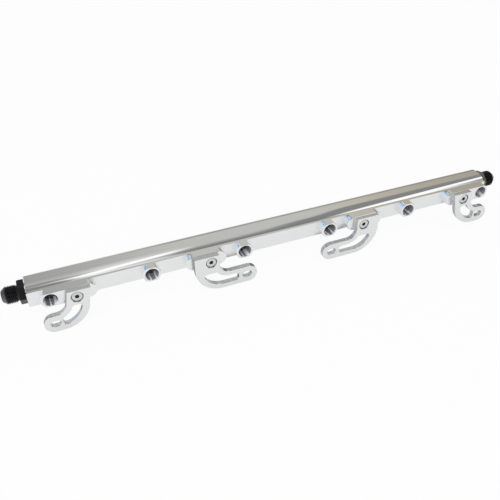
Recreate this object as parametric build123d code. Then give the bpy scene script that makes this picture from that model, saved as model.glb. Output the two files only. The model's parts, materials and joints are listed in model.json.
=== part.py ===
from build123d import *
import math
import os

# Fuel rail for an inline six, in millimetres.
# X runs along the rail, the injector ports open towards -Y and Z is up.
# The origin is midway between the outer bolt slots, on the face that the brackets bear on.

# Ports and the places of the brackets
port_count = 6
port_pitch = 104.0
port_height = 27.0                # port axes above the line of bolt slots
bolted_ports = (0, 2, 3, 5)       # the bolt slots lie below these ports
slot_offsets = (-0.5, 0.0, 1.0, -2.5)  # of the slots along X from those ports
left_overhang = 21.5              # from the first port to the cut end
right_overhang = 11.5             # from the last port to the cut end

# Body: a round-cornered extrusion with a flange along its front
body_height = 26.8
body_width = 32.6
body_side_flat = 1.6              # upright flat left between the corners at the back
flange_height = 17.2
flange_ledge = 2.9                # from the rounded shoulder to the flange's front
flange_root_radius = 1.0
end_chamfer = 0.8

# Pads that stand on the flange's front
pad_depth = 8.0
port_pad_radius = 9.8
pad_end_radius = 8.6
short_pad_end = 47.5              # from the bracket's bolt slot
long_pad_start = 21.5
long_pad_end = 66.5
pad_edge_break = 0.3

# Injector cups
cup_radius = 7.05
cup_depth = 12.5
cup_mouth_radius = 7.4
cup_lead_in = 1.0
feed_radius = 3.5

# Gallery and its straight-thread ports
gallery_radius = 8.75
thread_radius = 9.525             # three-quarter inch
port_thread_depth = 14.0
seal_seat_radius = 10.9
seal_seat_depth = 2.6
seal_seat_half_angle = 12.0
thread_clearance = 0.05

# Bracket plates
plate_thickness = 6.0
arm_half_width = 10.5
tip_overhang = 1.2                # tip radius centre beyond the slot centre
inner_radius = 12.0
outer_radius = 30.0
slot_length = 10.6
slot_width = 7.0
wall = 6.0                        # metal left round the window
side_wall = 7.4                   # and along X on its side away from the slot
window_corner_radius = 3.4
plate_edge_break = 0.4
# Each bracket's screw and sides, measured from its bolt slot along the arm
short_screw_reach = 26.0
short_inner_top = 17.0
short_inner_foot = 12.0
short_outer_top = 40.6
short_outer_foot = 31.8
short_window_start = 7.4
short_window_top = 17.4           # above the line of bolt slots
long_screw_reach = 40.3
long_inner_side = 31.6
long_outer_side = 59.0
long_window_start = 9.7
long_window_top = 12.4

# Countersunk socket screws, M6
screw_radius = 3.0
screw_length_in_pad = 11.0
screw_head_radius = 5.55
screw_head_sink = 1.1
screw_clearance_radius = 3.3
screw_socket_flats = 4.0
screw_socket_depth = 2.2
screw_hole_extra = 1.0
screw_tip_chamfer = 0.6
drill_point_half_angle = 59.0

# Flare adapters with seal rings
hex_flats = 22.2
hex_length = 7.0
hex_chamfer = 1.0
left_hex_angle = 27.0             # turn of a corner, back from straight up
right_hex_angle = 45.0
flare_end_length = 16.7           # from the hexagon to the nose's tip
thread_relief_length = 1.8
nose_half_angle = 37.0
nose_root_radius = 8.4
nose_length = 3.4
flow_radius = 5.0
adapter_reach = 12.5              # into the rail
adapter_neck_radius = 8.1
adapter_neck_length = 2.6
thread_start_chamfer = 1.1
seal_section_radius = 1.1
seal_section_sides = 8
seal_clearance = 0.06

# Worked out from the values above
port_row = [i * port_pitch for i in range(port_count)]
slot_row = [port_row[i] + offset for i, offset in zip(bolted_ports, slot_offsets)]
slots_middle = (slot_row[0] + slot_row[-1]) / 2
port_places = [x - slots_middle for x in port_row]
slot_places = [x - slots_middle for x in slot_row]
left_end = port_places[0] - left_overhang
right_end = port_places[-1] + right_overhang
body_corner_radius = (body_height - body_side_flat) / 2
shoulder_rise = (flange_height - body_side_flat) / 2
shoulder_reach = body_width / 2 - body_corner_radius + math.sqrt(body_corner_radius**2 - shoulder_rise**2)
pad_face = plate_thickness
flange_reach = shoulder_reach + flange_ledge
gallery_setback = pad_depth + flange_reach
gallery_y = pad_face + gallery_setback
gallery_z = port_height
plate_top = port_height + flange_height / 2
# Each end: its name, its place, the way out of the rail, and the turn of the adapter there
end_plan = [
    ("left", left_end, -1, left_hex_angle),
    ("right", right_end, 1, right_hex_angle),
]
# Each bracket: its name, its slot's place, the way its body lies from the slot, and long or short
bracket_plan = [
    ("bracket_short_left", slot_places[0], 1, False),
    ("bracket_long_left", slot_places[1], -1, True),
    ("bracket_long_right", slot_places[2], 1, True),
    ("bracket_short_right", slot_places[3], -1, False),
]


def facing_front(distance_back):
    """The plane that looks out of the front of the rail, at a depth behind the bearing face."""
    return Plane.XZ.offset(-distance_back)


def screw_place(slot_x, way, is_long):
    """Where along X a bracket's screw stands."""
    return slot_x + way * (long_screw_reach if is_long else short_screw_reach)


def rounded_bar(start, end, radius):
    """A round-ended flat shape along X at port height, from end to end."""
    middle = (start + end) / 2
    return Pos(middle, port_height) * SlotOverall(abs(end - start), 2 * radius)


def body_section():
    """The extrusion's section in Y and Z: a rounded box with the flange in front."""
    box = RectangleRounded(body_width, body_height, body_corner_radius)
    flange = Pos(-flange_reach / 2, 0) * Rectangle(flange_reach, flange_height)
    section = box + flange
    roots = section.vertices().group_by(Axis.X)[1]
    return Pos(gallery_y, gallery_z) * fillet(roots, flange_root_radius)


def pad_shapes():
    """The pads seen from the front: one round each port and one behind each bracket."""
    shapes = [Pos(x, port_height) * Circle(port_pad_radius) for x in port_places]
    for _, slot_x, way, is_long in bracket_plan:
        start = slot_x + way * (long_pad_start if is_long else -pad_end_radius)
        end = slot_x + way * (long_pad_end if is_long else short_pad_end)
        shapes.append(rounded_bar(start, end, pad_end_radius))
    flange_middle = (left_end + right_end) / 2
    whole_flange = Pos(flange_middle, port_height) * Rectangle(right_end - left_end, flange_height)
    return (Sketch() + shapes) & whole_flange


def cup_cutter():
    """An injector cup, its lead-in and its feed hole, cut along +Z from the pad face at z = 0."""
    outline = Polyline(
        (0, 0),
        (cup_mouth_radius, 0),
        (cup_radius, cup_lead_in),
        (cup_radius, cup_depth),
        (feed_radius, cup_depth),
        (feed_radius, gallery_setback),
        (0, gallery_setback),
        (0, 0),
    )
    return revolve(Plane.XZ * make_face(outline), Axis.Z)


def tapped_hole_cutter():
    """A tapped hole for a bracket screw with its drill point, along +Z from the pad face."""
    radius = screw_radius + thread_clearance
    depth = screw_length_in_pad + screw_hole_extra
    outline = Polyline(
        (0, 0),
        (radius, 0),
        (radius, depth),
        (0, depth + radius / math.tan(math.radians(drill_point_half_angle))),
        (0, 0),
    )
    return revolve(Plane.XZ * make_face(outline), Axis.Z)


def end_port_cutter():
    """A straight-thread port along +Z from a cut end of the rail: seal seat, then thread bore."""
    radius = thread_radius + thread_clearance
    seat_floor_radius = seal_seat_radius - seal_seat_depth * math.tan(math.radians(seal_seat_half_angle))
    outline = Polyline(
        (0, 0),
        (seal_seat_radius, 0),
        (seat_floor_radius, seal_seat_depth),
        (radius, seal_seat_depth + seat_floor_radius - radius),
        (radius, port_thread_depth),
        (0, port_thread_depth),
        (0, 0),
    )
    return revolve(Plane.XZ * make_face(outline), Axis.Z)


def make_rail_body():
    length = right_end - left_end
    rail = extrude(Plane.YZ.offset(left_end) * body_section(), length)
    cut_edges = rail.faces().sort_by(Axis.X)[0].edges() + rail.faces().sort_by(Axis.X)[-1].edges()
    rail = chamfer(cut_edges, end_chamfer)

    pads = extrude(facing_front(pad_face) * pad_shapes(), -pad_depth)
    front_edges = pads.faces().filter_by(Axis.Y).group_by(Axis.Y)[0].edges()
    rail += chamfer(front_edges, pad_edge_break)

    into_pad = Rotation(-90, 0, 0)
    cup = cup_cutter()
    tapped_hole = tapped_hole_cutter()
    rail -= [Pos(x, pad_face, port_height) * into_pad * cup for x in port_places]
    rail -= [
        Pos(screw_place(slot_x, way, is_long), pad_face, port_height) * into_pad * tapped_hole
        for _, slot_x, way, is_long in bracket_plan
    ]

    gallery = extrude(Plane.YZ.offset(left_end) * Pos(gallery_y, gallery_z) * Circle(gallery_radius), length)
    end_port = end_port_cutter()
    rail -= gallery
    rail -= Pos(left_end, gallery_y, gallery_z) * Rotation(0, 90, 0) * end_port
    rail -= Pos(right_end, gallery_y, gallery_z) * Rotation(0, -90, 0) * end_port
    return rail


def hook_outline(is_long):
    """A bracket plate seen with its arm to the left: X from the bolt slot, Y up from it."""
    if is_long:
        inner_top = long_inner_side
        inner_foot = long_inner_side
        outer_top = long_outer_side
        outer_foot = long_outer_side
    else:
        inner_top = short_inner_top
        inner_foot = short_inner_foot
        outer_top = short_outer_top
        outer_foot = short_outer_foot
    tip_bottom = (-tip_overhang, -arm_half_width)
    tip_left = (-tip_overhang - arm_half_width, 0)
    tip_top = (-tip_overhang, arm_half_width)
    sides = Polyline(
        tip_top,
        (inner_foot, arm_half_width),
        (inner_top, plate_top),
        (outer_top, plate_top),
        (outer_foot, -arm_half_width),
        tip_bottom,
    )
    plate = make_face(sides + ThreePointArc(tip_top, tip_left, tip_bottom))
    inner_corner = plate.vertices().sort_by_distance((inner_foot, arm_half_width))[0]
    plate = fillet(inner_corner, inner_radius)
    outer_corner = plate.vertices().sort_by_distance((outer_foot, -arm_half_width))[0]
    return fillet(outer_corner, outer_radius)


def window_shape(is_long):
    """The window that lightens a bracket, with walls of even width and round corners.

    The plate is drawn in by the wall and the corner radius, further on the side away from the
    slot, cut off at two lines, and grown by the corner radius again, which rounds every corner.
    """
    start = long_window_start if is_long else short_window_start
    top = long_window_top if is_long else short_window_top
    reach = long_outer_side if is_long else short_outer_top
    drawn_in = offset(hook_outline(is_long), -wall - window_corner_radius, kind=Kind.INTERSECTION)
    drawn_in &= Pos(wall - side_wall, 0) * drawn_in
    first = start + window_corner_radius
    last = top - window_corner_radius
    limits = make_face(Polyline(
        (first, -arm_half_width),
        (reach, -arm_half_width),
        (reach, last),
        (first, last),
        (first, -arm_half_width),
    ))
    return offset(drawn_in & limits, window_corner_radius, kind=Kind.ARC)


def countersink_cutter():
    """A screw's clearance hole and 90 degree countersink, along +Z from the plate's front."""
    mouth = screw_head_radius + screw_head_sink
    outline = Polyline(
        (0, 0),
        (mouth, 0),
        (screw_clearance_radius, mouth - screw_clearance_radius),
        (screw_clearance_radius, plate_thickness),
        (0, plate_thickness),
        (0, 0),
    )
    return revolve(Plane.XZ * make_face(outline), Axis.Z)


def make_bracket(slot_x, way, is_long):
    outline = hook_outline(is_long)
    outline -= window_shape(is_long)
    outline -= SlotOverall(slot_length, slot_width)
    plate = extrude(Plane.XZ * outline, -plate_thickness)
    rims = plate.faces().filter_by(Axis.Y).edges()
    plate = chamfer(rims, plate_edge_break)
    reach = long_screw_reach if is_long else short_screw_reach
    plate -= Pos(reach, 0, port_height) * Rotation(-90, 0, 0) * countersink_cutter()
    if way < 0:
        plate = mirror(plate, Plane.YZ)
    return Pos(slot_x, 0, 0) * plate


def make_screw(x):
    """A countersunk socket screw through its plate into the pad, head towards -Y."""
    neck = screw_head_sink + screw_head_radius - screw_radius
    tip = plate_thickness + screw_length_in_pad
    outline = Polyline(
        (0, screw_head_sink),
        (screw_head_radius, screw_head_sink),
        (screw_radius, neck),
        (screw_radius, tip - screw_tip_chamfer),
        (screw_radius - screw_tip_chamfer, tip),
        (0, tip),
        (0, screw_head_sink),
    )
    screw = revolve(Plane.XZ * make_face(outline), Axis.Z)
    socket_radius = screw_socket_flats / math.sqrt(3)
    socket = RegularPolygon(socket_radius, 6)
    screw -= extrude(Pos(0, 0, screw_head_sink) * socket, screw_socket_depth)
    return Pos(x, 0, port_height) * Rotation(-90, 0, 0) * screw


def hexagon_with_rounded_corners():
    """The adapter's hexagon along +Z from its seat, its corners turned down at both faces."""
    corner_radius = hex_flats / math.sqrt(3)
    turned_down = revolve(
        Plane.XZ * make_face(Polyline(
            (0, 0),
            (corner_radius - hex_chamfer, 0),
            (corner_radius, hex_chamfer / 2),
            (corner_radius, hex_length - hex_chamfer / 2),
            (corner_radius - hex_chamfer, hex_length),
            (0, hex_length),
            (0, 0),
        )),
        Axis.Z,
    )
    return extrude(RegularPolygon(corner_radius, 6), hex_length) & turned_down


def make_adapter(end_x, way, hex_turn):
    """A flare adapter in an end port: hexagon on the cut end, thread and nose outwards."""
    nose_end = hex_length + flare_end_length
    nose_root = nose_end - nose_length
    nose_tip_radius = nose_root_radius - nose_length * math.tan(math.radians(nose_half_angle))
    neck_step = thread_radius - adapter_neck_radius
    outline = Polyline(
        (0, -adapter_reach),
        (thread_radius - thread_start_chamfer, -adapter_reach),
        (thread_radius, -adapter_reach + thread_start_chamfer),
        (thread_radius, -adapter_neck_length - neck_step),
        (adapter_neck_radius, -adapter_neck_length),
        (adapter_neck_radius, hex_length + thread_relief_length),
        (thread_radius, hex_length + thread_relief_length + neck_step),
        (thread_radius, nose_root - (thread_radius - nose_root_radius)),
        (nose_root_radius, nose_root),
        (nose_tip_radius, nose_end),
        (0, nose_end),
        (0, -adapter_reach),
    )
    turned = revolve(Plane.XZ * make_face(outline), Axis.Z)
    adapter = turned + Rotation(0, 0, -way * hex_turn) * hexagon_with_rounded_corners()
    flow_length = adapter_reach + nose_end
    adapter -= extrude(Pos(0, 0, -adapter_reach) * Circle(flow_radius), flow_length)
    return Pos(end_x, gallery_y, gallery_z) * Rotation(0, 90 * way, 0) * adapter


def make_seal(end_x, way):
    """The seal ring in the seat of an end port, round the adapter's neck and under its hexagon."""
    ring_radius = adapter_neck_radius + seal_clearance + seal_section_radius
    middle = seal_section_radius + seal_clearance
    section = RegularPolygon(seal_section_radius, seal_section_sides)
    ring = revolve(Plane.XZ * Pos(ring_radius, 0) * section, Axis.Z)
    return Pos(end_x - way * middle, gallery_y, gallery_z) * Rotation(0, 90, 0) * ring


def write(name, shape):
    export_step(shape, f"parts/{name}.step")


os.makedirs("parts", exist_ok=True)
write("rail_body", make_rail_body())
for name, slot_x, way, is_long in bracket_plan:
    write(name, make_bracket(slot_x, way, is_long))
    write(name.replace("bracket", "screw"), make_screw(screw_place(slot_x, way, is_long)))
for side, end_x, way, hex_turn in end_plan:
    write(f"{side}_adapter", make_adapter(end_x, way, hex_turn))
    write(f"{side}_adapter_seal", make_seal(end_x, way))
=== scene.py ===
import json
import math

import bpy
import numpy as np
from bpy.props import FloatProperty, FloatVectorProperty, PointerProperty
from mathutils import Matrix, Vector


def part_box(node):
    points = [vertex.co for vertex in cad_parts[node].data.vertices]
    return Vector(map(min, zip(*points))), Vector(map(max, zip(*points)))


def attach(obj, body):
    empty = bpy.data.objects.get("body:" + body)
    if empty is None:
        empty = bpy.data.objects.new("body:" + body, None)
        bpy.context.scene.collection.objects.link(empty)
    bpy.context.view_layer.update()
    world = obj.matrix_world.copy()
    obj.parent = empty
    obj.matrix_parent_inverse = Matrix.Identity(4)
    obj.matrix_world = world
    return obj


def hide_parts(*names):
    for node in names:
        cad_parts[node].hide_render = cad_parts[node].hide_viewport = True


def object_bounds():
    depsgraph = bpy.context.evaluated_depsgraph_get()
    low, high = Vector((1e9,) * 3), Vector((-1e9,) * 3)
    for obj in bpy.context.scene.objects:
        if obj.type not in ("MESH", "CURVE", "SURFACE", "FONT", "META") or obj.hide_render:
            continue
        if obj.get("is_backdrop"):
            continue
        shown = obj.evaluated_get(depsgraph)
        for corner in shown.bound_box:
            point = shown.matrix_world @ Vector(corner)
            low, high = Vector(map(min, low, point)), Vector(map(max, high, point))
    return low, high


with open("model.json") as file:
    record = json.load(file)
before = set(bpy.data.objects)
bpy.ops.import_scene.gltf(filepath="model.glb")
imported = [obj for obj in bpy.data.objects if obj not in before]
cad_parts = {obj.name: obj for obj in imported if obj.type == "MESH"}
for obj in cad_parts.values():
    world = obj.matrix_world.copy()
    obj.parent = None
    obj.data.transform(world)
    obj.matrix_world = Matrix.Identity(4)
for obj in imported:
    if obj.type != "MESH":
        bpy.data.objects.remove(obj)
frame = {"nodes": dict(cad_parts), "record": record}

# The looks of a fuel rail: polished extrusion, satin plates, screws, black flare adapters and seals.
# The pieces' sizes are in millimetres and become metres where a mesh is made. The stage is in
# metres. Colours are linear.

bl_info = {
    "name": "Fuel rail finish",
    "version": (1, 0, 0),
    "blender": (4, 5, 0),
    "location": "3D View > Sidebar > Fuel rail",
    "description": "Threads, screws, seals and metal finishes for a six-port fuel rail",
    "category": "Object",
}

MM = 0.001
# How far the pads stand out from the flange, and the injector cups' mouth and depth
PAD_DEPTH = 8.0
CUP_MOUTH_RADIUS = 7.4
CUP_DEPTH = 12.5

SHARP_ANGLE = math.radians(32)
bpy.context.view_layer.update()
SIDES = {"left": -1, "right": 1}
BRACKETS = ("short_left", "long_left", "long_right", "short_right")

# The wall behind the rail: how far along it from the left, from 0 to 1, and the colour there
WALL_STOPS = (
    (0.2, (0.5, 0.5, 0.5)),
    (0.46, (0.35, 0.35, 0.345)),
    (0.51, (0.43, 0.43, 0.42)),
    (0.58, (0.55, 0.55, 0.53)),
    (0.69, (0.56, 0.56, 0.54)),
    (0.72, (0.55, 0.53, 0.46)),
    (0.77, (0.46, 0.42, 0.36)),
    (0.82, (0.4, 0.37, 0.31)),
    (1.0, (0.5, 0.5, 0.5)),
)


class AdapterSizes(bpy.types.PropertyGroup):
    """Sizes of a flare adapter, along its axis from the face that meets the rail."""

    hex_flats: FloatProperty(name="Across flats", description="Hexagon across its flats, mm", default=22.2)
    hex_length: FloatProperty(name="Hexagon length", description="Hexagon along the axis, mm", default=7.0)
    hex_chamfer: FloatProperty(name="Corner chamfer", description="Turned off each corner, mm", default=1.0)
    left_turn: FloatProperty(
        name="Left turn", description="Turn of the left hexagon", subtype="ANGLE",
        default=math.radians(27))
    right_turn: FloatProperty(
        name="Right turn", description="Turn of the right hexagon", subtype="ANGLE",
        default=math.radians(45))
    thread_radius: FloatProperty(
        name="Thread radius", description="Outer radius of both threads, mm", default=9.525)
    thread_pitch: FloatProperty(
        name="Thread pitch", description="Sixteen threads an inch, mm", default=1.5875)
    neck_radius: FloatProperty(name="Neck radius", description="Radius beside the hexagon, mm", default=8.1)
    neck_length: FloatProperty(name="Neck length", description="Neck inside the rail, mm", default=2.6)
    relief_length: FloatProperty(
        name="Relief length", description="Groove outside the hexagon, mm", default=1.8)
    reach: FloatProperty(name="Reach", description="Length inside the rail, mm", default=12.5)
    flare_length: FloatProperty(
        name="Flare end", description="From the hexagon to the nose's tip, mm", default=16.7)
    nose_length: FloatProperty(name="Nose length", description="Length of the flare cone, mm", default=3.4)
    nose_radius: FloatProperty(
        name="Nose radius", description="Largest radius of the cone, mm", default=8.4)
    nose_angle: FloatProperty(
        name="Nose angle", description="Half angle of the cone", subtype="ANGLE",
        default=math.radians(37))
    bore_radius: FloatProperty(name="Bore radius", description="Flow bore radius, mm", default=5.0)


class ScrewSizes(bpy.types.PropertyGroup):
    """Sizes of a countersunk socket screw, from its head along the shank."""

    head_radius: FloatProperty(
        name="Head radius", description="Radius of the head's flat, mm", default=5.55)
    shank_radius: FloatProperty(name="Thread radius", description="Outer radius of thread, mm", default=3.0)
    thread_pitch: FloatProperty(name="Thread pitch", description="Thread pitch, mm", default=1.0)
    socket_flats: FloatProperty(name="Socket flats", description="Socket across its flats, mm", default=4.0)
    socket_depth: FloatProperty(name="Socket depth", description="Depth of the socket, mm", default=2.2)


class Finishes(bpy.types.PropertyGroup):
    """Colours of the metals and the rubber."""

    polished: FloatVectorProperty(
        name="Polished aluminium", description="Colour of the extrusion", subtype="COLOR", size=3,
        default=(0.92, 0.92, 0.915), min=0, max=1)
    satin: FloatVectorProperty(
        name="Satin aluminium", description="Colour of plates and milled faces", subtype="COLOR", size=3,
        default=(0.9, 0.905, 0.91), min=0, max=1)
    cup: FloatVectorProperty(
        name="Cup walls", description="Tint of the injector cups' walls", subtype="COLOR", size=3,
        default=(0.93, 0.96, 1.0), min=0, max=1)
    steel: FloatVectorProperty(
        name="Screw steel", description="Colour of the screws", subtype="COLOR", size=3,
        default=(0.72, 0.72, 0.715), min=0, max=1)
    anodised: FloatVectorProperty(
        name="Black anodising", description="Colour of the adapters", subtype="COLOR", size=3,
        default=(0.004, 0.004, 0.005), min=0, max=1)
    clouded: FloatVectorProperty(
        name="Clouded anodising", description="The black where it is palest", subtype="COLOR", size=3,
        default=(0.012, 0.012, 0.014), min=0, max=1)
    # The nose's bluish tint is a painted reflection.
    nose: FloatVectorProperty(
        name="Nose", description="Colour of the adapters' noses", subtype="COLOR", size=3,
        default=(0.005, 0.01, 0.02), min=0, max=1)
    # Painted brown reflection of the room on the right hexagon.
    painted_brown_reflection: FloatVectorProperty(
        name="Painted brown reflection", description="Colour of the right hexagon", subtype="COLOR", size=3,
        default=(0.12, 0.1, 0.088), min=0, max=1)
    # Painted grey reflection of the floor on the lowest flats.
    painted_floor_reflection: FloatVectorProperty(
        name="Painted floor reflection", description="Colour of both lowest flats", subtype="COLOR", size=3,
        default=(0.05, 0.05, 0.05), min=0, max=1)
    rubber: FloatVectorProperty(
        name="Seal rubber", description="Colour of the seal rings", subtype="COLOR", size=3,
        default=(0.02, 0.02, 0.02), min=0, max=1)
    bloom: FloatVectorProperty(
        name="Rubber bloom", description="Colour of the bloom on the rubber", subtype="COLOR", size=3,
        default=(0.06, 0.06, 0.06), min=0, max=1)


class Studio(bpy.types.PropertyGroup):
    """Camera, lamp, floor and room."""

    place: FloatVectorProperty(
        name="Camera place", description="Where the camera stands", subtype="XYZ", unit="LENGTH", size=3,
        default=(-0.240228, -0.508097, 0.43474))
    heading: FloatProperty(
        name="Heading", description="Turn to the right of straight ahead", subtype="ANGLE",
        default=math.radians(20.8402))
    dip: FloatProperty(
        name="Dip", description="Downward tilt", subtype="ANGLE", default=math.radians(36.5492))
    roll: FloatProperty(
        name="Roll", description="Turn about the line of sight", subtype="ANGLE",
        default=math.radians(-1.3388))
    lens: FloatProperty(
        name="Lens", description="Focal length, mm on a 36 mm frame", unit="CAMERA", default=45.02)
    lamp_place: FloatVectorProperty(
        name="Lamp place", description="Where the lamp hangs; it shines at the origin", subtype="XYZ",
        unit="LENGTH", size=3, default=(-0.9, -0.9, 1.6))
    lamp_size: FloatProperty(
        name="Lamp size", description="Side of the square lamp", unit="LENGTH", default=1.2)
    lamp_power: FloatProperty(
        name="Lamp power", description="Power of the lamp, W", unit="POWER", default=9.0)
    room_tone: FloatProperty(
        name="Room tone", description="Even light that the room gives matt surfaces", default=0.8, min=0)
    floor_tone: FloatProperty(
        name="Floor tone", description="Grey of the floor", subtype="FACTOR", default=0.86, min=0,
        max=1)
    floor_lift: FloatProperty(
        name="Floor lift", description="Share of the floor that the camera sees as white",
        subtype="FACTOR", default=0.93, min=0, max=1)
    floor_gloss: FloatProperty(
        name="Floor in gloss", description="Share of the floor that polished metal shows as white",
        subtype="FACTOR", default=0.32, min=0, max=1)


class Outlet:
    """One output of a shader node. Arithmetic on it adds the Math nodes that work it out."""

    def __init__(self, graph, socket):
        self.graph = graph
        self.socket = socket

    def math(self, operation, *others):
        """The result of a Math node that takes this value first and then the others."""
        return self.graph.node("ShaderNodeMath", {"operation": operation}, dict(enumerate((self, *others))))

    def __add__(self, other):
        return self.math("ADD", other)

    def __sub__(self, other):
        return self.math("SUBTRACT", other)

    def __rsub__(self, other):
        return self.graph.node("ShaderNodeMath", {"operation": "SUBTRACT"}, {0: other, 1: self})

    def __mul__(self, other):
        return self.math("MULTIPLY", other)

    def __truediv__(self, other):
        return self.math("DIVIDE", other)

    def __neg__(self):
        return self.math("MULTIPLY", -1.0)

    def __abs__(self):
        return self.math("ABSOLUTE")

    __radd__ = __add__
    __rmul__ = __mul__

    def within(self, low, high):
        """0 below low, 1 above high and a smooth step between them.

        Where low is the larger of two numbers, it is 0 above low and 1 below high.
        """
        if isinstance(low, (int, float)) and isinstance(high, (int, float)) and low > high:
            return 1 - self.within(high, low)
        return self.graph.node(
            "ShaderNodeMapRange", {"interpolation_type": "SMOOTHSTEP"}, {0: self, 1: low, 2: high})

    def near(self, middle, far, close):
        """1 where the value is less than close from the middle, 0 where it is more than far from it."""
        return abs(self - middle).within(far, close)


class Graph:
    """The node tree of a material or the world, filled by expressions."""

    def __init__(self, owner):
        owner.use_nodes = True
        self.tree = owner.node_tree
        self.tree.nodes.clear()

    def node(self, kind, settings=None, inlets=None, outlet=0):
        """Adds one node: its settings first, then values or links of its sockets."""
        made = self.tree.nodes.new(kind)
        for name, value in (settings or {}).items():
            if name == "stops":
                self.set_stops(made.color_ramp, value)
            else:
                setattr(made, name, value)
        for key, value in (inlets or {}).items():
            if isinstance(value, Outlet):
                self.tree.links.new(value.socket, made.inputs[key])
            else:
                made.inputs[key].default_value = value
        return Outlet(self, made.outputs[outlet]) if made.outputs else None

    def set_stops(self, ramp, stops):
        """Gives a colour ramp its positions and colours."""
        while len(ramp.elements) > 1:
            ramp.elements.remove(ramp.elements[-1])
        for index, (position, colour) in enumerate(stops):
            stop = ramp.elements[0] if index == 0 else ramp.elements.new(position)
            stop.position = position
            stop.color = self.opaque(colour)

    def opaque(self, colour):
        """A colour as a socket takes it: a link as it is, three numbers with a fourth of 1."""
        return colour if isinstance(colour, Outlet) else (*colour, 1)

    def mix(self, share, first, second):
        """A colour from first at 0 to second at 1."""
        return self.node("ShaderNodeMix", {"data_type": "RGBA"}, {
            0: share, 6: self.opaque(first), 7: self.opaque(second)}, outlet=2)

    def shade(self, colour, factor):
        """A colour times a number."""
        return self.node("ShaderNodeVectorMath", {"operation": "SCALE"}, {0: colour, "Scale": factor})

    def place_mm(self):
        """Where the surface is, in millimetres."""
        place = self.node("ShaderNodeTexCoord", outlet="Object")
        return self.node("ShaderNodeVectorMath", {"operation": "SCALE"}, {0: place, "Scale": 1 / MM})

    def facing(self):
        """The three parts of the direction that the surface faces."""
        return self.parts(self.node("ShaderNodeNewGeometry", outlet="Normal"))

    def stored(self, name):
        """A number kept on the mesh's points."""
        return self.node("ShaderNodeAttribute", {"attribute_name": name}, outlet="Fac")

    def parts(self, vector):
        """The three parts of a vector."""
        cut = self.tree.nodes.new("ShaderNodeSeparateXYZ")
        self.tree.links.new(vector.socket, cut.inputs[0])
        return [Outlet(self, cut.outputs[axis]) for axis in range(3)]

    def join(self, x, y, z):
        """A vector, or a colour, of three values."""
        return self.node("ShaderNodeCombineXYZ", {}, {0: x, 1: y, 2: z})

    def stretch(self, vector, *scales):
        """A vector with each of its parts scaled."""
        return self.node("ShaderNodeVectorMath", {"operation": "MULTIPLY"}, {0: vector, 1: scales})

    def noise(self, vector, scale=1.0, detail=2.0, roughness=0.5):
        """Smooth noise from 0 to 1."""
        return self.node("ShaderNodeTexNoise", {}, {
            "Vector": vector, "Scale": scale, "Detail": detail, "Roughness": roughness})

    def bump(self, height, depth):
        """A normal from a height of 0 to 1 that stands for a depth in millimetres."""
        return self.node("ShaderNodeBump", {}, {"Height": height, "Distance": depth * MM, "Strength": 1.0})

    def finish(self, fixed, varying):
        """The surface shader: fixed values on its own sockets and what varies over the surface."""
        shader = self.node("ShaderNodeBsdfPrincipled", {}, {**fixed, **varying})
        self.node("ShaderNodeOutputMaterial", {}, {"Surface": shader})


def new_material(name):
    """A material and the graph that fills its node tree."""
    material = bpy.data.materials.new(name)
    return material, Graph(material)


def port_line():
    """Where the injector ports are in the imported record, in mm: first X, spacing and Z."""
    mounts = frame["record"]["mounts"]
    places = sorted(mount["pos_m"] for mount in mounts if "injector_port" in mount["name"])
    first, second = places[0][0] / MM, places[1][0] / MM
    return first, second - first, places[0][2] / MM


def from_nearest_port(graph, x, z):
    """The distance to the nearest port's axis, and X and Z of the unit vector from it."""
    first, pitch, height = port_line()
    across = (x - (first - 1.5 * pitch)).math("MODULO", pitch) - pitch / 2
    rise = z - height
    radius = (across * across + rise * rise).math("SQRT")
    return radius, across / radius, rise / radius


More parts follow.
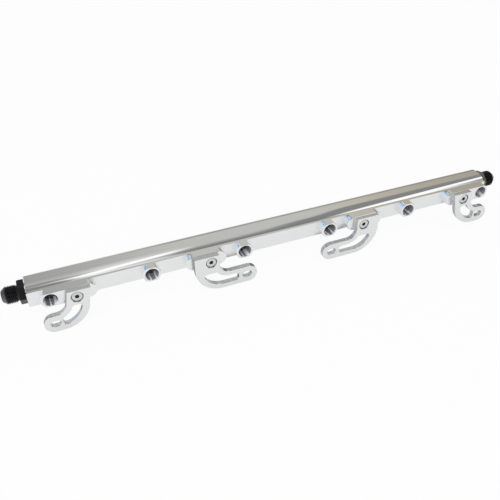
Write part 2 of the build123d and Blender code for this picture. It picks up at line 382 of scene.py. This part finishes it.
def aluminium_rail(finishes):
    """Polished extrusion, with the front and the pads milled and the ends turned.

    The extrusion has long fine die lines along X. The milled front is satin, and the pads' flanks
    are bright. The cups are dull, with painted shade at the bottom and pale streaks of painted
    highlight along their walls where the direction from their axis, shifted by the noise of the
    tool's drag, makes a sine wave high.
    """
    material, graph = new_material("polished_aluminium")
    place = graph.place_mm()
    x, y, z = graph.parts(place)
    nx, ny = graph.facing()[:2]
    pad_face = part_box("bracket_long_left")[1].y / MM
    flange_face = pad_face + PAD_DEPTH
    cup_end = pad_face + CUP_DEPTH
    front = (-ny).within(0.93, 0.99)
    pads = y.within(flange_face - 0.1, flange_face - 0.3)
    extruded = (1 - pads) * (1 - front)
    ends = abs(nx).within(0.93, 0.99) * (1 - pads)
    radius, port_x, port_z = from_nearest_port(graph, x, z)
    cup = radius.within(CUP_MOUTH_RADIUS + 0.2, CUP_MOUTH_RADIUS + 0.05)
    cup = cup * y.within(pad_face + 0.05, pad_face + 0.3) * y.within(cup_end + 1.5, cup_end + 1)
    # Painted shade: the cup walls darken towards the cup's floor.
    painted_cup_floor_shade = y.within(cup_end - 1, cup_end - 0.2)
    fine_lines = graph.noise(graph.stretch(place, 0.004, 1.6, 1.6), detail=3.0, roughness=0.6)
    broad_lines = graph.noise(graph.stretch(place, 0.005, 0.4, 0.4), detail=2.0)
    waves = graph.noise(graph.stretch(place, 0.012, 0.09, 0.09), detail=1.0)
    cutter = graph.noise(graph.stretch(place, 0.9, 0.02, 0.9), detail=3.0)
    smears = graph.noise(graph.stretch(place, 0.03, 0.12, 0.12), detail=3.0)
    drag = graph.noise(graph.join(port_x * 1.5 + x * 0.013, y * 0.03, port_z * 1.5), detail=1.0)
    # Painted highlights: pale bars on the cup walls stand for reflections of bright lights.
    painted_highlight_bars = ((port_x * 8 + drag * 6).math("SINE") * 0.5 + 0.5).within(0.4, 0.9)
    cup_tone = (0.18 + 0.45 * drag + 0.95 * painted_highlight_bars) * (1 - 0.85 * painted_cup_floor_shade)
    outer = graph.shade(finishes.polished, 0.9 + 0.08 * broad_lines + 0.06 * fine_lines)
    outer = graph.mix(front, outer, finishes.satin)
    rough = 0.045 + 0.06 * fine_lines * smears
    rough = rough + front * 0.2 + pads * (1 - front) * 0.05 + ends * 0.1 + cup * 0.2
    height = fine_lines * extruded * 0.35 + waves * (1 - front) * 0.65
    height = height + cutter * front * 0.2 + drag * cup * 2
    graph.finish({}, {
        "Metallic": 1 - 0.7 * cup,
        "Base Color": graph.mix(cup, outer, graph.shade(finishes.cup, cup_tone)),
        "Roughness": rough,
        "Normal": graph.bump(height, 0.012)})
    return material


def aluminium_plate(finishes):
    """Satin plate with the cutter's lines through its sides.

    The sides are darker than the faces, less so high and low on the plate, and darker still, by
    painted shade, where they look left, most of all on the rail's left half. A plate whose arm points
    right has painted shade on the curve of its tip and in the corner of its arm. The countersunk hole
    has painted shade, most of all in its upper half.
    """
    material, graph = new_material("satin_aluminium")
    place = graph.place_mm()
    x, y, z = graph.parts(place)
    nx, ny, nz = graph.facing()
    port_height = port_line()[2]
    flat = abs(ny).within(0.9, 0.99)
    side = abs(ny).within(0.3, 0.1)
    # Painted shade in the countersink around the screw head, most in its upper half.
    painted_countersink_shade = y.within(0.4, 0.5) * y.within(2.2, 1.9) * (1 - side) * (1 - flat)
    painted_countersink_shade = painted_countersink_shade * z.within(port_height - 8, port_height - 7)
    upper = z.within(port_height - 3, port_height + 2)
    low = z.within(6, 3)
    # Painted shade on the tip's curve and in the arm's corner of plates whose arm points right.
    painted_tip_shade = side * nx.within(0.2, 0.4) * nz.within(0.2, 0.4) * z.within(4, 7) * z.within(14, 12)
    # Painted shade on the sides that look left, most on the rail's left half.
    painted_left_side_shade = side * (-nx).within(0.8, 0.97)
    left_half = x.within(20, -20)
    grain = graph.noise(graph.stretch(place, 0.5, 0.5, 0.5), detail=5.0, roughness=0.6)
    lines = graph.noise(graph.stretch(place, 1.1, 0.03, 1.1), detail=3.0, roughness=0.65)
    bands = graph.noise(graph.stretch(place, 0.22, 0.01, 0.22), detail=2.0)
    face_tone = 0.95 + 0.05 * grain
    side_tone = 0.5 + 0.08 * upper + 0.3 * bands + 0.25 * lines + 0.1 * low
    tone = face_tone * (1 - side) + side * side_tone
    tone = tone * (1 - painted_countersink_shade * (0.7 + 0.25 * upper))
    tone = tone * (1 - 0.7 * painted_tip_shade)
    tone = tone * (1 - painted_left_side_shade * (0.2 + 0.45 * left_half))
    graph.finish({"Metallic": 1.0}, {
        "Base Color": graph.shade(finishes.satin, tone),
        "Roughness": 0.16 + 0.12 * flat + 0.08 * grain + 0.2 * side,
        "Normal": graph.bump(grain * flat * 0.3 + lines * side, 0.012)})
    return material


def screw_steel(finishes, sizes):
    """Bright plated steel turned round the screw's axis, with painted shade in the socket and at the head's
    rim.
    """
    material, graph = new_material("screw_steel")
    radius = graph.stored("radius_mm")
    along = graph.stored("along_mm")
    corner = sizes.socket_flats / math.sqrt(3)
    # Painted shade in the screw's socket and at the head's rim, where it meets the countersink.
    socket = radius.within(corner + 0.14, corner - 0.01) * along.within(0.05, 0.3)
    rim = radius.within(sizes.head_radius - 0.45, sizes.head_radius - 0.15)
    grain = graph.noise(graph.place_mm(), scale=1.4, detail=4.0)
    rings = graph.noise(graph.join(radius * 2.2, along * 2.2, 0.0), detail=2.0)
    tone = (0.88 + 0.25 * rings) * (1 - 0.82 * socket) * (1 - 0.75 * rim)
    graph.finish({"Metallic": 1.0}, {
        "Base Color": graph.shade(finishes.steel, tone),
        "Roughness": 0.24 + 0.12 * grain + 0.2 * socket,
        "Normal": graph.bump(rings, 0.01)})
    return material


def black_anodising(finishes, sizes):
    """Black anodised metal, dull on the hexagon and glossy on the nose, with a bluish painted reflection on
    the nose.

    The right hexagon has a painted brown reflection, and the lowest flat of both has a painted grey
    reflection of the floor.
    """
    material, graph = new_material("black_anodised")
    place = graph.place_mm()
    x = graph.parts(place)[0]
    along = graph.stored("along_mm")
    nose_root = sizes.hex_length + sizes.flare_length - sizes.nose_length
    hexagon = along.within(-0.1, 0.1) * along.within(sizes.hex_length + 0.1, sizes.hex_length - 0.1)
    nose = along.within(nose_root - 1.6, nose_root - 0.4)
    # Painted grey reflection of the floor on the lowest flat of each hexagon.
    painted_floor_reflection = hexagon * (-graph.facing()[2]).within(0.5, 0.75)
    lines = graph.noise(graph.stretch(place, 3.5, 0.06, 0.06), detail=2.0)
    cloud = graph.noise(place, scale=0.35, detail=3.0)
    colour = graph.mix(cloud * 0.5, finishes.anodised, finishes.clouded)
    # The bluish nose colour is a painted reflection of the blue daylight.
    colour = graph.mix(nose, colour, finishes.nose)
    # Painted brown reflection of the room on the right hexagon.
    colour = graph.mix(hexagon * x.within(0, 100), colour, finishes.painted_brown_reflection)
    colour = graph.mix(painted_floor_reflection, colour, finishes.painted_floor_reflection)
    fixed = {"Metallic": 0.0, "Specular IOR Level": 0.2, "Coat IOR": 2.0, "Coat Roughness": 0.05}
    graph.finish(fixed, {
        "Base Color": colour,
        "Coat Weight": 0.17 - 0.1 * hexagon + 0.05 * cloud + 0.6 * nose,
        "Roughness": 0.2 + 0.14 * cloud,
        "Normal": graph.bump(lines, 0.006)})
    return material


def seal_rubber(finishes):
    """Matt black rubber with a faint bloom."""
    material, graph = new_material("seal_rubber")
    bloom = graph.noise(graph.place_mm(), scale=0.8, detail=4.0)
    graph.finish({"Metallic": 0.0}, {
        "Base Color": graph.mix(bloom * 0.3, finishes.rubber, finishes.bloom),
        "Roughness": 0.55 + 0.2 * bloom})
    return material


def dress(piece, material):
    """Gives a piece this material alone."""
    piece.data.materials.clear()
    piece.data.materials.append(material)


def signed_volume(points, faces):
    """The volume inside triangles or quads by the divergence theorem, below 0 if they point inwards."""
    corners = points[faces]
    total = 0.0
    for second in range(1, faces.shape[1] - 1):
        total += np.einsum(
            "ij,ij->", corners[:, 0], np.cross(corners[:, second], corners[:, second + 1])) / 6
    return total


def closed_grid(name, points, material, is_ring):
    """A closed mesh from a grid of points, shaped (rows, columns, 3), in metres.

    Columns run round the axis and join up. Rows join up too on a ring; otherwise the first and the
    last row each close in a fan to their mean point.
    """
    rows, columns, _ = points.shape
    index = np.arange(rows * columns).reshape(rows, columns)
    beside = np.roll(index, -1, axis=1)
    quads = np.stack([index, beside, np.roll(beside, -1, axis=0), np.roll(index, -1, axis=0)], axis=-1)
    vertices = points.reshape(-1, 3)
    if is_ring:
        faces = [quads.reshape(-1, 4)]
    else:
        first, last = len(vertices), len(vertices) + 1
        vertices = np.vstack([vertices, points[0].mean(axis=0), points[-1].mean(axis=0)])
        start = np.stack([beside[0], index[0], np.full(columns, first)], axis=-1)
        end = np.stack([index[-1], beside[-1], np.full(columns, last)], axis=-1)
        faces = [quads[:-1].reshape(-1, 4), start, end]
    if sum(signed_volume(vertices, part) for part in faces) < 0:
        faces = [part[:, ::-1] for part in faces]
    mesh = bpy.data.meshes.new(name)
    mesh.from_pydata(vertices.tolist(), [], [face for part in faces for face in part.tolist()])
    mesh.polygons.foreach_set("use_smooth", np.ones(len(mesh.polygons), dtype=bool))
    mesh.set_sharp_from_angle(angle=SHARP_ANGLE)
    piece = bpy.data.objects.new(name, mesh)
    bpy.context.scene.collection.objects.link(piece)
    dress(piece, material)
    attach(piece, "root")
    return piece


def keep_on_points(piece, name, values, at_ends):
    """Stores one number for each point of the grid, and at_ends for the two points that close it."""
    column = np.append(values.ravel(), [at_ends] * (len(piece.data.vertices) - values.size))
    layer = piece.data.attributes.new(name, "FLOAT", "POINT")
    layer.data.foreach_set("value", column.astype(np.float32))


def around(columns):
    """Angles evenly spaced round the axis."""
    return np.arange(columns) * (2 * np.pi / columns)


def between(start, end, *shares):
    """Values from start to end, a row for each share of the way."""
    return start + np.array(shares)[:, None] * (end - start)


def hexagon_radius(angles, flats):
    """The distance from the axis to a hexagon's side in each direction, with a corner at angle 0.

    It is half the width over flats, divided by the cosine of the angle from the side's middle.
    """
    sector = np.mod(angles, np.pi / 3) - np.pi / 6
    return flats / 2 / np.cos(sector)


def vee_thread(along, angles, outer, pitch):
    """Radius of a vee thread at each place along and round the axis.

    The crest is flat over an eighth of the pitch and the root over a quarter of it, with straight
    flanks between them. The phase moves on by one pitch in each turn.
    """
    crest_half = 1 / 16
    flank_end = 3 / 8
    depth = 0.6134 * pitch
    phase = np.mod(along / pitch - angles / (2 * np.pi), 1.0)
    from_crest = np.minimum(phase, 1 - phase)
    return outer - depth * np.clip((from_crest - crest_half) / (flank_end - crest_half), 0, 1)


class Turning:
    """A form turned round an axis: rows of places along the axis and of radii in each direction."""

    def __init__(self, columns):
        self.angles = around(columns)
        self.along = []
        self.radius = []

    def add(self, along, radius):
        """Adds one row, or one for each value of a column; a number holds all the way round."""
        along, radius, _ = np.broadcast_arrays(along, radius, self.angles[None, :])
        self.along.append(along)
        self.radius.append(radius)

    def grid(self):
        """Places and radii, each shaped (rows, columns), and the columns' angles."""
        return np.vstack(self.along), np.vstack(self.radius), self.angles


def adapter_grid(sizes):
    """A flare adapter as rows round its section, from its bore and back to its bore.

    The outline goes along the bore, out over the inner end, up the inner thread, over the hexagon,
    up the outer thread and down the flare cone. A thread's radius is that of the vee, held down by
    the cones of its two chamfers. Where a corner of the hexagon stands out past the turned radius,
    its face slopes back by half as much.
    """
    rows_a_turn = 14
    lead_in = 0.4
    start_chamfer = 1.1
    shoulder = 0.05
    neck_fillet = 0.3
    relief_fillet = 0.5
    edge = 0.12
    bore_split = 10
    turning = Turning(144)
    bore = sizes.bore_radius
    neck = sizes.neck_radius
    flat = hexagon_radius(turning.angles, sizes.hex_flats)
    turned = sizes.hex_flats / math.sqrt(3) - sizes.hex_chamfer
    face = np.minimum(flat - edge, turned)
    slope = np.maximum((flat - turned) / 2, edge)
    relief_end = sizes.hex_length + sizes.relief_length
    flare_end = sizes.hex_length + sizes.flare_length
    nose_root = flare_end - sizes.nose_length
    tip = sizes.nose_radius - sizes.nose_length * math.tan(sizes.nose_angle)

    def thread(start, end):
        """Places from start to end down a column, and the thread's radii there."""
        count = round((end - start) / sizes.thread_pitch * rows_a_turn)
        places = np.linspace(start, end, count + 1)[:, None]
        return places, vee_thread(places, turning.angles, sizes.thread_radius, sizes.thread_pitch)

    turning.add(flare_end - lead_in, bore)
    turning.add(flare_end - bore_split, bore)
    turning.add(-sizes.reach + lead_in, bore)
    turning.add(-sizes.reach, bore + lead_in)
    turning.add(-sizes.reach, sizes.thread_radius - start_chamfer)
    places, cut = thread(-sizes.reach + shoulder, -sizes.neck_length - shoulder)
    inner_cone = sizes.thread_radius - start_chamfer + shoulder + (places + sizes.reach)
    neck_cone = neck - sizes.neck_length - places
    turning.add(places, np.minimum(cut, np.minimum(inner_cone, neck_cone)))
    turning.add(-sizes.neck_length, neck)
    turning.add(-neck_fillet, neck)
    turning.add(0, neck + neck_fillet)
    turning.add(0, between(neck + neck_fillet, face, 0.5, 1.0))
    turning.add(slope, flat)
    turning.add(sizes.hex_length - slope, flat)
    turning.add(sizes.hex_length, between(neck + relief_fillet, face, 1.0, 0.5))
    turns = np.radians([0, 30, 60, 90])[:, None]
    turning.add(
        sizes.hex_length + relief_fillet * (1 - np.cos(turns)), neck + relief_fillet * (1 - np.sin(turns)))
    places, cut = thread(relief_end, nose_root)
    relief_cone = neck + (places - relief_end)
    nose_cone = sizes.nose_radius + np.maximum(nose_root - places, 0)
    turning.add(places, np.minimum(cut, np.minimum(relief_cone, nose_cone)))
    nose_shares = (0.02, 0.5, 0.97)
    turning.add(between(nose_root, flare_end, *nose_shares), between(sizes.nose_radius, tip, *nose_shares))
    turning.add(flare_end, tip - edge)
    turning.add(flare_end, bore + lead_in)
    return turning.grid()


def screw_grid(sizes, length):
    """A socket screw as rows from the floor of its socket to its tip.

    The socket's floor is a shallow drill cone, its wall a hexagon and its mouth a turned chamfer. The
    head is a 90 degree cone with a rounded rim. The shank's vee thread deepens over its first turn
    and is held down by the cone of the tip's chamfer.
    """
    rows_a_turn = 10
    drill_depth = 0.8
    drill_radius = 1.7
    centre_radius = 0.05
    foot_inset = 0.04
    foot_height = 0.06
    mouth_chamfer = 0.1
    mouth_slope = 0.7
    least_chamfer = 0.03
    rim = 0.18
    neck = 0.2
    tip_chamfer = 0.6
    tip_edge = 0.05
    last_step = 0.02
    turning = Turning(96)
    wall = hexagon_radius(turning.angles, sizes.socket_flats)
    mouth = sizes.socket_flats / math.sqrt(3) + mouth_chamfer
    head = sizes.head_radius
    shank = sizes.shank_radius
    shank_start = head - shank
    turning.add(sizes.socket_depth + drill_depth, centre_radius)
    turning.add(sizes.socket_depth, drill_radius)
    turning.add(sizes.socket_depth, wall - foot_inset)
    turning.add(sizes.socket_depth - foot_height, wall)
    turning.add(np.maximum(mouth - wall, least_chamfer) * mouth_slope, wall)
    turning.add(0, mouth)
    turning.add(0, (mouth + head) / 2)
    turns = np.radians([0, 35, 70, 105, 135])[:, None]
    turning.add(rim * (1 - np.cos(turns)), head - rim + rim * np.sin(turns))
    turning.add(shank_start - neck, shank + neck)
    count = round((length - shank_start) / sizes.thread_pitch * rows_a_turn)
    places = np.linspace(shank_start, length - last_step, count + 1)[:, None]
    cut = vee_thread(places, turning.angles, shank, sizes.thread_pitch)
    run_in = np.clip((places - shank_start) / sizes.thread_pitch, 0, 1)
    tip_cone = np.minimum(shank, shank - tip_chamfer + (length - places))
    turning.add(places, np.minimum(shank + (cut - shank) * run_in, tip_cone))
    turning.add(length, shank - tip_chamfer - tip_edge)
    return turning.grid()


def seal_grid(section, middle):
    """A seal ring: a circle of the section's radius, carried round the axis at the middle radius."""
    turning = Turning(96)
    turns = around(24)[:, None]
    turning.add(section * np.sin(turns), middle + section * np.cos(turns))
    return turning.grid()


def adapter_frame(side):
    """An adapter's seat, and the directions of its own X, Y and Z, with Z outwards along the rail."""
    way = SIDES[side]
    body_low, body_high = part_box("rail_body")
    ring_low, ring_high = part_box(f"{side}_adapter_seal")
    middle = (ring_low + ring_high) / 2
    seat = Vector(((body_low if way < 0 else body_high).x, middle.y, middle.z))
    return seat, np.array([[0, 0, -way], [0, 1, 0], [way, 0, 0]], dtype=float)


def turned_points(along, radius, angles, seat, axes):
    """Points of a turned form in metres: radius times the cosine and sine of the angle, and along."""
    local = np.stack([radius * np.cos(angles), radius * np.sin(angles), along], axis=-1) * MM
    return np.array(seat) + local @ axes


class RAIL_OT_body(bpy.types.Operator):
    """Polish the extrusion and mill its front"""

    bl_idname = "rail.body"
    bl_label = "Rail body"

    def execute(self, context):
        dress(frame["nodes"]["rail_body"], aluminium_rail(context.scene.rail_finishes))
        return {"FINISHED"}


class RAIL_OT_brackets(bpy.types.Operator):
    """Give the bracket plates their satin finish"""

    bl_idname = "rail.brackets"
    bl_label = "Brackets"

    def execute(self, context):
        material = aluminium_plate(context.scene.rail_finishes)
        for name in BRACKETS:
            dress(frame["nodes"][f"bracket_{name}"], material)
        return {"FINISHED"}


class RAIL_OT_screws(bpy.types.Operator):
    """Make the countersunk socket screws with their threads"""

    bl_idname = "rail.screws"
    bl_label = "Screws"

    def execute(self, context):
        sizes = context.scene.rail_screw
        material = screw_steel(context.scene.rail_finishes, sizes)
        axes = np.array([[1, 0, 0], [0, 0, -1], [0, 1, 0]], dtype=float)
        for name in BRACKETS:
            low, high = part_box(f"screw_{name}")
            seat = Vector(((low.x + high.x) / 2, low.y, (low.z + high.z) / 2))
            along, radius, angles = screw_grid(sizes, (high.y - low.y) / MM)
            points = turned_points(along, radius, angles, seat, axes)
            piece = closed_grid(f"socket_screw_{name}", points, material, False)
            keep_on_points(piece, "radius_mm", radius, 0.0)
            keep_on_points(piece, "along_mm", along, along[0, 0])
            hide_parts(f"screw_{name}")
        return {"FINISHED"}


class RAIL_OT_adapters(bpy.types.Operator):
    """Make the black flare adapters with their hexagons and threads"""

    bl_idname = "rail.adapters"
    bl_label = "Flare adapters"

    def execute(self, context):
        sizes = context.scene.rail_adapter
        material = black_anodising(context.scene.rail_finishes, sizes)
        along, radius, angles = adapter_grid(sizes)
        for side, way in SIDES.items():
            seat, axes = adapter_frame(side)
            turn = sizes.left_turn if side == "left" else sizes.right_turn
            points = turned_points(along, radius, angles - way * turn, seat, axes)
            piece = closed_grid(f"{side}_flare_adapter", points, material, True)
            keep_on_points(piece, "along_mm", along, 0.0)
            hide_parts(f"{side}_adapter")
        return {"FINISHED"}


class RAIL_OT_seals(bpy.types.Operator):
    """Make the round seal rings under the adapters"""

    bl_idname = "rail.seals"
    bl_label = "Seals"

    def execute(self, context):
        material = seal_rubber(context.scene.rail_finishes)
        for side in SIDES:
            low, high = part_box(f"{side}_adapter_seal")
            section = (high.x - low.x) / 2 / MM
            middle = (high.y - low.y) / 2 / MM - section
            seat, axes = adapter_frame(side)
            seat.x = (low.x + high.x) / 2
            points = turned_points(*seal_grid(section, middle), seat, axes)
            piece = closed_grid(f"{side}_seal_ring", points, material, True)
            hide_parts(f"{side}_adapter_seal")
        return {"FINISHED"}


def camera_axes(studio):
    """Right, up and back of the camera from its heading, dip and roll."""
    sin_heading, cos_heading = math.sin(studio.heading), math.cos(studio.heading)
    sin_dip, cos_dip = math.sin(studio.dip), math.cos(studio.dip)
    ahead = Vector((sin_heading * cos_dip, cos_heading * cos_dip, -sin_dip))
    level = Vector((cos_heading, -sin_heading, 0))
    upright = level.cross(ahead)
    right = level * math.cos(studio.roll) + upright * math.sin(studio.roll)
    up = upright * math.cos(studio.roll) - level * math.sin(studio.roll)
    return right, up, -ahead


def make_camera(studio):
    """The camera at the photograph's viewing angle."""
    camera = bpy.data.cameras.new("camera")
    camera.lens = studio.lens
    camera.sensor_width = 36
    camera.clip_start = 0.01
    camera.clip_end = 50
    holder = bpy.data.objects.new("camera", camera)
    turn = Matrix(camera_axes(studio)).transposed().to_4x4()
    holder.matrix_world = Matrix.Translation(studio.place) @ turn
    bpy.context.scene.collection.objects.link(holder)
    bpy.context.scene.camera = holder


def make_floor(studio):
    """A pale floor under the lowest point, lifted to white for the camera so that it keeps shadows."""
    half = 4.0
    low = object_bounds()[0]
    mesh = bpy.data.meshes.new("floor")
    corners = [(-half, -half, low[2]), (half, -half, low[2]), (half, half, low[2]), (-half, half, low[2])]
    mesh.from_pydata(corners, [], [(0, 1, 2, 3)])
    floor = bpy.data.objects.new("floor", mesh)
    bpy.context.scene.collection.objects.link(floor)
    material, graph = new_material("floor")
    seen = graph.node("ShaderNodeLightPath", outlet="Is Camera Ray") * studio.floor_lift
    mirrored = graph.node("ShaderNodeLightPath", outlet="Is Glossy Ray") * studio.floor_gloss
    matt = graph.node("ShaderNodeBsdfDiffuse", {}, {"Color": (*[studio.floor_tone] * 3, 1)})
    white = graph.node("ShaderNodeEmission", {}, {"Strength": 1.0})
    both = graph.node("ShaderNodeMixShader", {}, {0: seen + mirrored, 1: matt, 2: white})
    graph.node("ShaderNodeOutputMaterial", {}, {"Surface": both})
    dress(floor, material)
    floor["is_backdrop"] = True


def make_lamp(studio):
    """A square lamp that shines at the origin and doesn't show in gloss."""
    lamp = bpy.data.lights.new("key", "AREA")
    lamp.shape = "RECTANGLE"
    lamp.size = studio.lamp_size
    lamp.size_y = studio.lamp_size
    lamp.energy = studio.lamp_power
    holder = bpy.data.objects.new("key", lamp)
    place = Vector(studio.lamp_place)
    aim = (-place).to_track_quat("-Z", "Y")
    holder.matrix_world = Matrix.Translation(place) @ aim.to_matrix().to_4x4()
    holder.visible_glossy = False
    bpy.context.scene.collection.objects.link(holder)


class Room:
    """The colours that gloss shows in each direction.

    X, Y and Z are those of the direction: to the right, behind the rail and up. The turn is the
    angle about the rail's length in degrees: 0 behind it, 90 overhead and 180 in front.
    """

    def __init__(self, graph):
        self.graph = graph
        self.x, self.y, self.z = graph.parts(graph.node("ShaderNodeTexCoord", outlet="Generated"))
        self.turn = self.z.math("ARCTAN2", self.y) * (180 / math.pi)
        self.behind = self.y.within(0.1, 0.3)
        self.colour = graph.node("ShaderNodeValToRGB", {"stops": WALL_STOPS}, {0: self.x * 0.5 + 0.5})

    def lay(self, share, colour):
        """Lays a colour over what is there, by a share from 0 to 1."""
        self.colour = self.graph.mix(share, self.colour, colour)

    def lay_grey(self, share, tone):
        """Lays a grey that differs from place to place."""
        self.lay(share, self.graph.join(tone, tone, tone))

    def light_wall(self):
        """Darkens the foot of the wall on the right, and lights its upper part near the middle."""
        foot = self.turn.within(29, 24) * self.x.within(0.05, 0.2)
        self.lay(foot * 0.55, (0.2, 0.2, 0.2))
        glow = self.turn.within(43, 108) * self.x.within(0.2, 0.1)
        glow = glow * (0.35 * self.x.within(-0.2, -0.08) + 0.55 * self.x.within(0.0, 0.06))
        self.lay(glow, (0.85, 0.85, 0.86))

    def add_ceiling(self):
        """A dark ceiling, darkest towards the front, with a purple line on the left.

        Its edge lies further forward or back from place to place along the rail.
        """
        x, turn = self.x, self.turn
        far_right = x.within(0.38, 0.44)
        edge = 93 + 10 * x.within(-0.03, 0.04) - 16 * x.within(0.28, 0.38) - 29 * far_right
        blur = 12 - 4 * far_right
        deep = turn.within(105, 131)
        tone = (0.35 - 0.1 * x.within(0.3, 0.38)) * (1 - deep) + 0.21 * deep
        self.lay_grey(turn.within(edge - blur, edge + blur), tone)
        purple_line = turn.near(95, 7, 3) * x.within(0.01, -0.03)
        self.lay(purple_line * 0.7, (0.24, 0.2, 0.24))

    def add_front(self):
        """The wall in front, lit and higher in two stretches, and a slanting lamp over each."""
        x, turn = self.x, self.turn
        lit = x.within(0.21, 0.14) * x.within(-0.02, 0.05) + x.within(0.43, 0.49) * x.within(0.64, 0.57)
        wall = turn.within(112, 132) * lit + turn.within(141, 153) * (1 - lit)
        self.lay_grey(wall, 0.4 + 0.48 * lit)
        left_middle = 120.5 - 125 * x - 10 * x.within(0.03, -0.02)
        left_half = 5 + 4 * x.within(-0.02, 0.03) + 9 * x.within(-0.01, 0.07)
        left_lamp = (abs(turn - left_middle) / left_half).within(1, 0.35)
        left_lamp = left_lamp * x.within(-0.06, 0.03) * x.within(0.21, 0.15)
        right_middle = 133 - 155 * (x - 0.44)
        right_lamp = turn.near(right_middle, 16, 6) * x.within(0.39, 0.45) * x.within(0.75, 0.68)
        self.lay(left_lamp.math("MAXIMUM", right_lamp), (1.12, 1.12, 1.12))

    def add_window(self):
        """A pale wall behind at the far left, and a window beside it.

        The window is a dark frame, the sky, two blue panes and a white bar on their right.
        """
        x, z, behind = self.x, self.z, self.behind
        self.lay(x.within(-0.76, -0.8) * behind * z.within(0.3, 0.2), (0.85, 0.85, 0.86))
        outer = x.near(-0.46, 0.34, 0.32) * z.near(0.42, 0.4, 0.36) * behind
        self.lay(outer, (0.2, 0.23, 0.28))
        sky = x.near(-0.46, 0.31, 0.28) * z.near(0.38, 0.38, 0.34) * behind
        self.lay(sky, (0.6, 0.72, 0.86))
        panes = x.near(-0.36, 0.05, 0.03) + x.near(-0.55, 0.05, 0.03)
        self.lay(sky * panes, (0.2, 0.4, 0.65))
        self.lay(sky * x.near(-0.28, 0.035, 0.015), (1.05, 1.08, 1.1))

    def add_left_end(self):
        """Daylight past the left end and in front on the left, and a dark band behind on the left."""
        x, y, z = self.x, self.y, self.z
        daylight = x.within(-0.86, -0.93) * y.within(0.02, -0.06) * z.within(0.02, 0.2)
        self.lay(daylight, self.graph.mix(z.within(0.12, 0.22), (0.95, 0.9, 0.92), (1.3, 1.6, 1.9)))
        in_front = x.within(-0.4, -0.55) * y.within(-0.2, -0.4) * z.within(-0.2, -0.1) * z.within(0.7, 0.6)
        self.lay(in_front, (0.75, 0.9, 1.1))
        dark_band = x.within(-0.4, -0.5) * z.within(0.15, 0.1) * self.behind
        self.lay(dark_band * 0.9, (0.05, 0.05, 0.07))


def make_room(studio):
    """White for the camera, the furnished room for gloss and an even light for all else."""
    world = bpy.data.worlds.new("room")
    bpy.context.scene.world = world
    graph = Graph(world)
    room = Room(graph)
    room.light_wall()
    room.add_ceiling()
    room.add_front()
    room.add_window()
    room.add_left_end()
    gloss = graph.node("ShaderNodeBackground", {}, {"Color": room.colour})
    even = graph.node("ShaderNodeBackground", {}, {"Color": (*[studio.room_tone] * 3, 1)})
    white = graph.node("ShaderNodeBackground", {}, {"Color": (1, 1, 1, 1)})
    is_gloss = graph.node("ShaderNodeLightPath", outlet="Is Glossy Ray")
    is_seen = graph.node("ShaderNodeLightPath", outlet="Is Camera Ray")
    unseen = graph.node("ShaderNodeMixShader", {}, {0: is_gloss, 1: even, 2: gloss})
    both = graph.node("ShaderNodeMixShader", {}, {0: is_seen, 1: unseen, 2: white})
    graph.node("ShaderNodeOutputWorld", {}, {"Surface": both})


class RAIL_OT_stage(bpy.types.Operator):
    """Make the floor, the lamp, the room and the camera"""

    bl_idname = "rail.stage"
    bl_label = "Stage"

    def execute(self, context):
        studio = context.scene.rail_studio
        make_floor(studio)
        make_lamp(studio)
        make_room(studio)
        make_camera(studio)
        context.scene.view_settings.view_transform = "Standard"
        return {"FINISHED"}


class RAIL_PT_panel(bpy.types.Panel):
    """Lists the steps that dress the fuel rail, and their sizes and colours"""

    bl_label = "Fuel rail"
    bl_idname = "RAIL_PT_panel"
    bl_space_type = "VIEW_3D"
    bl_region_type = "UI"
    bl_category = "Fuel rail"

    def draw(self, context):
        for step in STEPS:
            self.layout.operator(step.bl_idname)
        for group, kind in GROUPS.items():
            for name in kind.__annotations__:
                self.layout.prop(getattr(context.scene, group), name)


GROUPS = {
    "rail_adapter": AdapterSizes,
    "rail_screw": ScrewSizes,
    "rail_finishes": Finishes,
    "rail_studio": Studio,
}
STEPS = (
    RAIL_OT_body, RAIL_OT_brackets, RAIL_OT_screws, RAIL_OT_adapters, RAIL_OT_seals, RAIL_OT_stage)
CLASSES = (*GROUPS.values(), *STEPS, RAIL_PT_panel)


def register():
    """Registers the classes and gives each scene its groups of sizes and colours."""
    for kind in CLASSES:
        bpy.utils.register_class(kind)
    for name, kind in GROUPS.items():
        setattr(bpy.types.Scene, name, PointerProperty(type=kind))


def unregister():
    """Takes away what register added."""
    for name in GROUPS:
        delattr(bpy.types.Scene, name)
    for kind in reversed(CLASSES):
        bpy.utils.unregister_class(kind)


def main():
    """Dresses the rail step by step."""
    register()
    bpy.ops.rail.body()
    bpy.ops.rail.brackets()
    bpy.ops.rail.screws()
    bpy.ops.rail.adapters()
    bpy.ops.rail.seals()
    bpy.ops.rail.stage()


if __name__ == "__main__":
    main()
